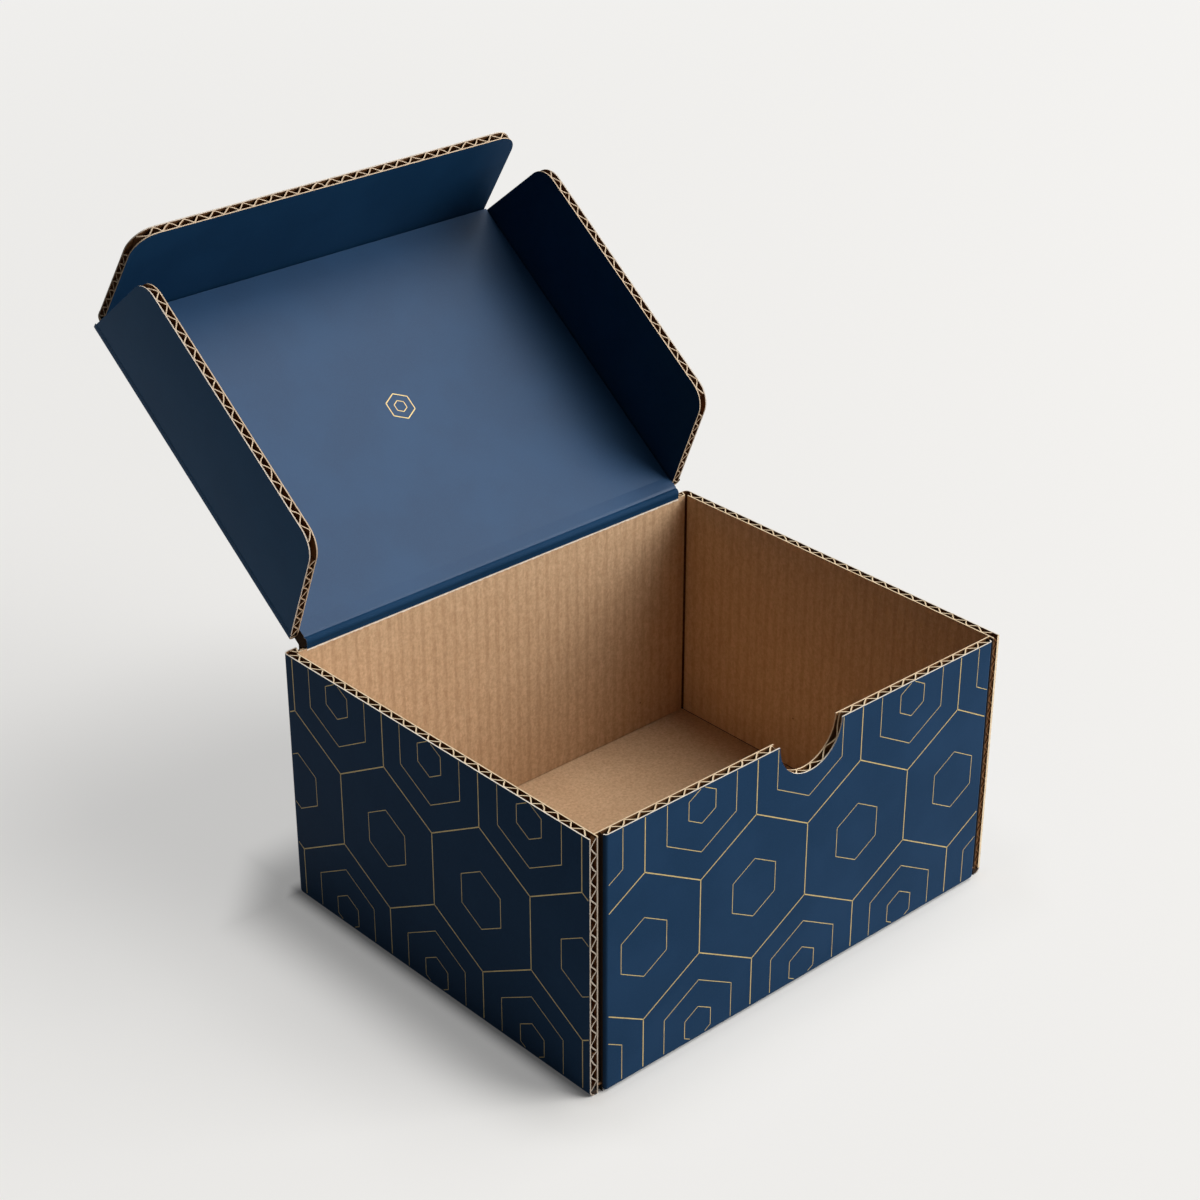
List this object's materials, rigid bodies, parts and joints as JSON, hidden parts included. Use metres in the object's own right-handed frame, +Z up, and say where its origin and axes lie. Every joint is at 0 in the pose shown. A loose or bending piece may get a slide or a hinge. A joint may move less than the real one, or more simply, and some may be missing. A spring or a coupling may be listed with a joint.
{
  "type": "corrugated mailer box",
  "caption": "Open mailer box of corrugated board, printed outside, with a thumb notch in the front wall and a hinged lid that has a front flap and side flaps.",
  "frame": {"origin": "middle of the tray's flat underside", "axes": "+Z up, front wall with the thumb notch facing -Y, +X to the right as seen from the front"},
  "size_m": [0.242, 0.3423, 0.2827],
  "materials": {
    "tray_board": "matt print on kraft board",
    "lid_board": "matt print on both sides"
  },
  "bodies": {
    "tray": {"tray": "tray_board"},
    "lid": {"lid": "lid_board"},
    "front_flap": {"front_flap": "lid_board"},
    "left_flap": {"left_flap": "lid_board"},
    "right_flap": {"right_flap": "lid_board"}
  },
  "joints": [
    {"name": "lid_hinge", "type": "hinge", "parent": "tray", "child": "lid", "pos_m": [0, 0.0978, 0.1275], "axis": [-1, 0, 0], "range_deg": [-143, 67]},
    {"name": "front_flap_fold", "type": "hinge", "parent": "lid", "child": "front_flap", "pos_m": [0, 0.24012, 0.23474], "axis": [1, 0, 0], "range_deg": [-86, 10]},
    {"name": "left_flap_fold", "type": "hinge", "parent": "lid", "child": "left_flap", "pos_m": [-0.1139, 0.1694, 0.18145], "axis": [0, 0.7986, 0.6018], "range_deg": [-90, 8]},
    {"name": "right_flap_fold", "type": "hinge", "parent": "lid", "child": "right_flap", "pos_m": [0.1139, 0.1694, 0.18145], "axis": [0, -0.7986, -0.6018], "range_deg": [-90, 8]}
  ]
}
